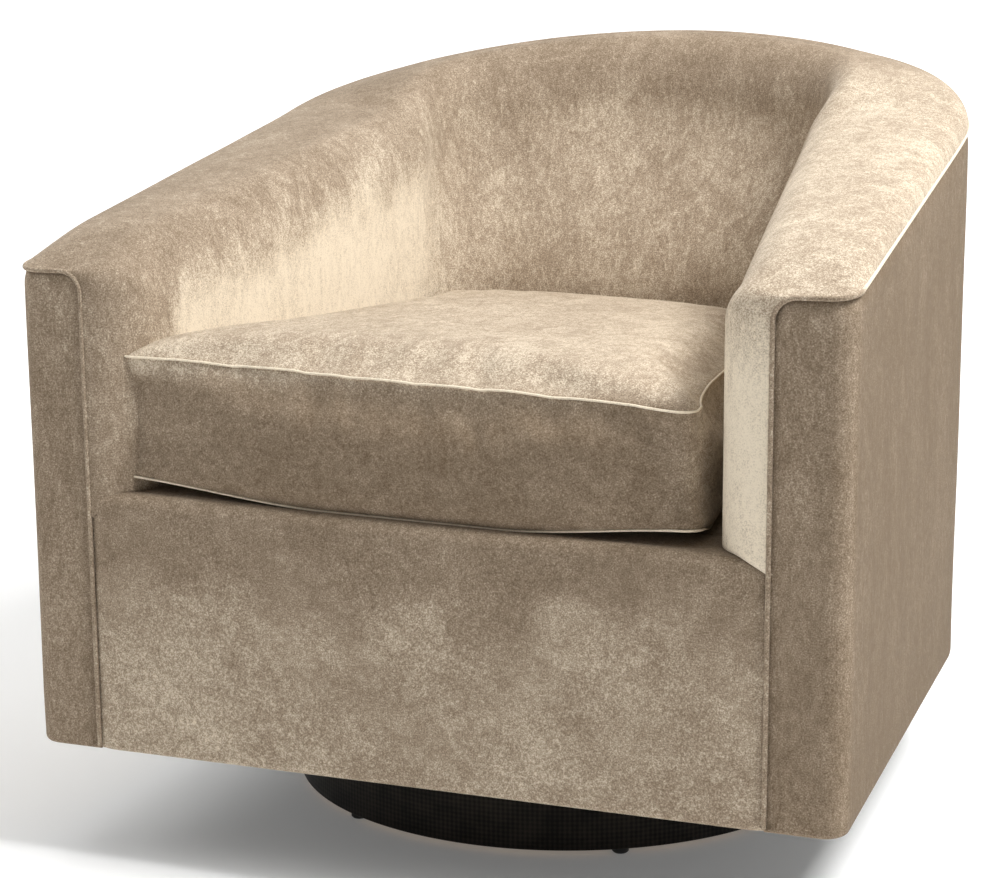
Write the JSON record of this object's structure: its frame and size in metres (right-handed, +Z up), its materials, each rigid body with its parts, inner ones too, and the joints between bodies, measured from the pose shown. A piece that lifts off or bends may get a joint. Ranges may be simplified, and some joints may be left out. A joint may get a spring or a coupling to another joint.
{
  "type": "swivel lounge chair",
  "caption": "Upholstered barrel-back lounge chair with sloping rolled arms and a loose seat cushion, turning on a low round plinth through a ball-bearing swivel plate.",
  "frame": {"origin": "on the swivel axis at floor level, under the middle of the chair", "axes": "+Z up; the chair faces -Y, so +X is on the right in the picture"},
  "size_m": [0.765, 0.833, 0.7615],
  "materials": {
    "velvet": "matte",
    "plinth_cloth": "matte",
    "black_cambric": "matte",
    "webbing": "matte",
    "foam": "matte",
    "plywood": "matte",
    "hardwood": "matte",
    "zinc_steel": "satin",
    "nylon": "satin",
    "zip_tape": "matte",
    "zip_metal": "satin"
  },
  "bodies": {
    "base": {"base_glides": "nylon", "base_drum": "plywood", "base_top_board": "plywood", "base_brace_long": "hardwood", "base_brace_cross": "hardwood", "base_cover": "plinth_cloth", "swivel_lower_plate": "zinc_steel", "swivel_base_screws": "zinc_steel", "swivel_pivot": "zinc_steel", "pivot_nut": "zinc_steel"},
    "ball_cage": {"swivel_ball_cage": "nylon", "swivel_balls": "zinc_steel"},
    "seat": {"arm_front_board_left": "plywood", "arm_front_board_right": "plywood", "arm_post_left": "hardwood", "arm_post_right": "hardwood", "back_post": "hardwood", "bottom_board": "plywood", "corner_blocks": "hardwood", "corner_post_left": "hardwood", "corner_post_right": "hardwood", "dust_cover": "black_cambric", "front_board": "plywood", "front_panel": "velvet", "inside_pad": "velvet", "outer_liner": "plywood", "outside_cover": "velvet", "seat_back_board": "plywood", "seat_deck": "velvet", "seat_side_board_left": "plywood", "seat_side_board_right": "plywood", "seat_springs": "zinc_steel", "side_post_left": "hardwood", "side_post_right": "hardwood", "spring_clips": "zinc_steel", "swivel_frame_bolts": "zinc_steel", "swivel_tee_nuts": "zinc_steel", "swivel_upper_plate": "zinc_steel", "top_rail": "hardwood", "wall_webbing": "webbing", "welt_cord": "velvet"},
    "cushion": {"cushion_core": "foam", "cushion_cover": "velvet", "cushion_zip": "zip_tape"},
    "zip_slider": {"zip_slider": "zip_metal"}
  },
  "joints": [
    {"name": "seat_swivel", "type": "hinge", "parent": "base", "child": "seat", "pos_m": [0, 0, 0.099], "axis": [0, 0, 1], "continuous": true},
    {"name": "ball_cage_spin", "type": "hinge", "parent": "base", "child": "ball_cage", "pos_m": [0, 0, 0.099], "axis": [0, 0, 1], "continuous": true},
    {"name": "cushion_lift", "type": "slide", "parent": "seat", "child": "cushion", "axis": [0, 0, 1], "range_m": [0, 0.45]},
    {"name": "zip_slide", "type": "hinge", "parent": "cushion", "child": "zip_slider", "pos_m": [-0.008, -0.17, 0.3883], "axis": [0, 0, 1], "range_deg": [0, 29.5]}
  ],
  "couplings": [
    {"joint": "ball_cage_spin", "follows": "seat_swivel", "ratio": 0.5}
  ]
}
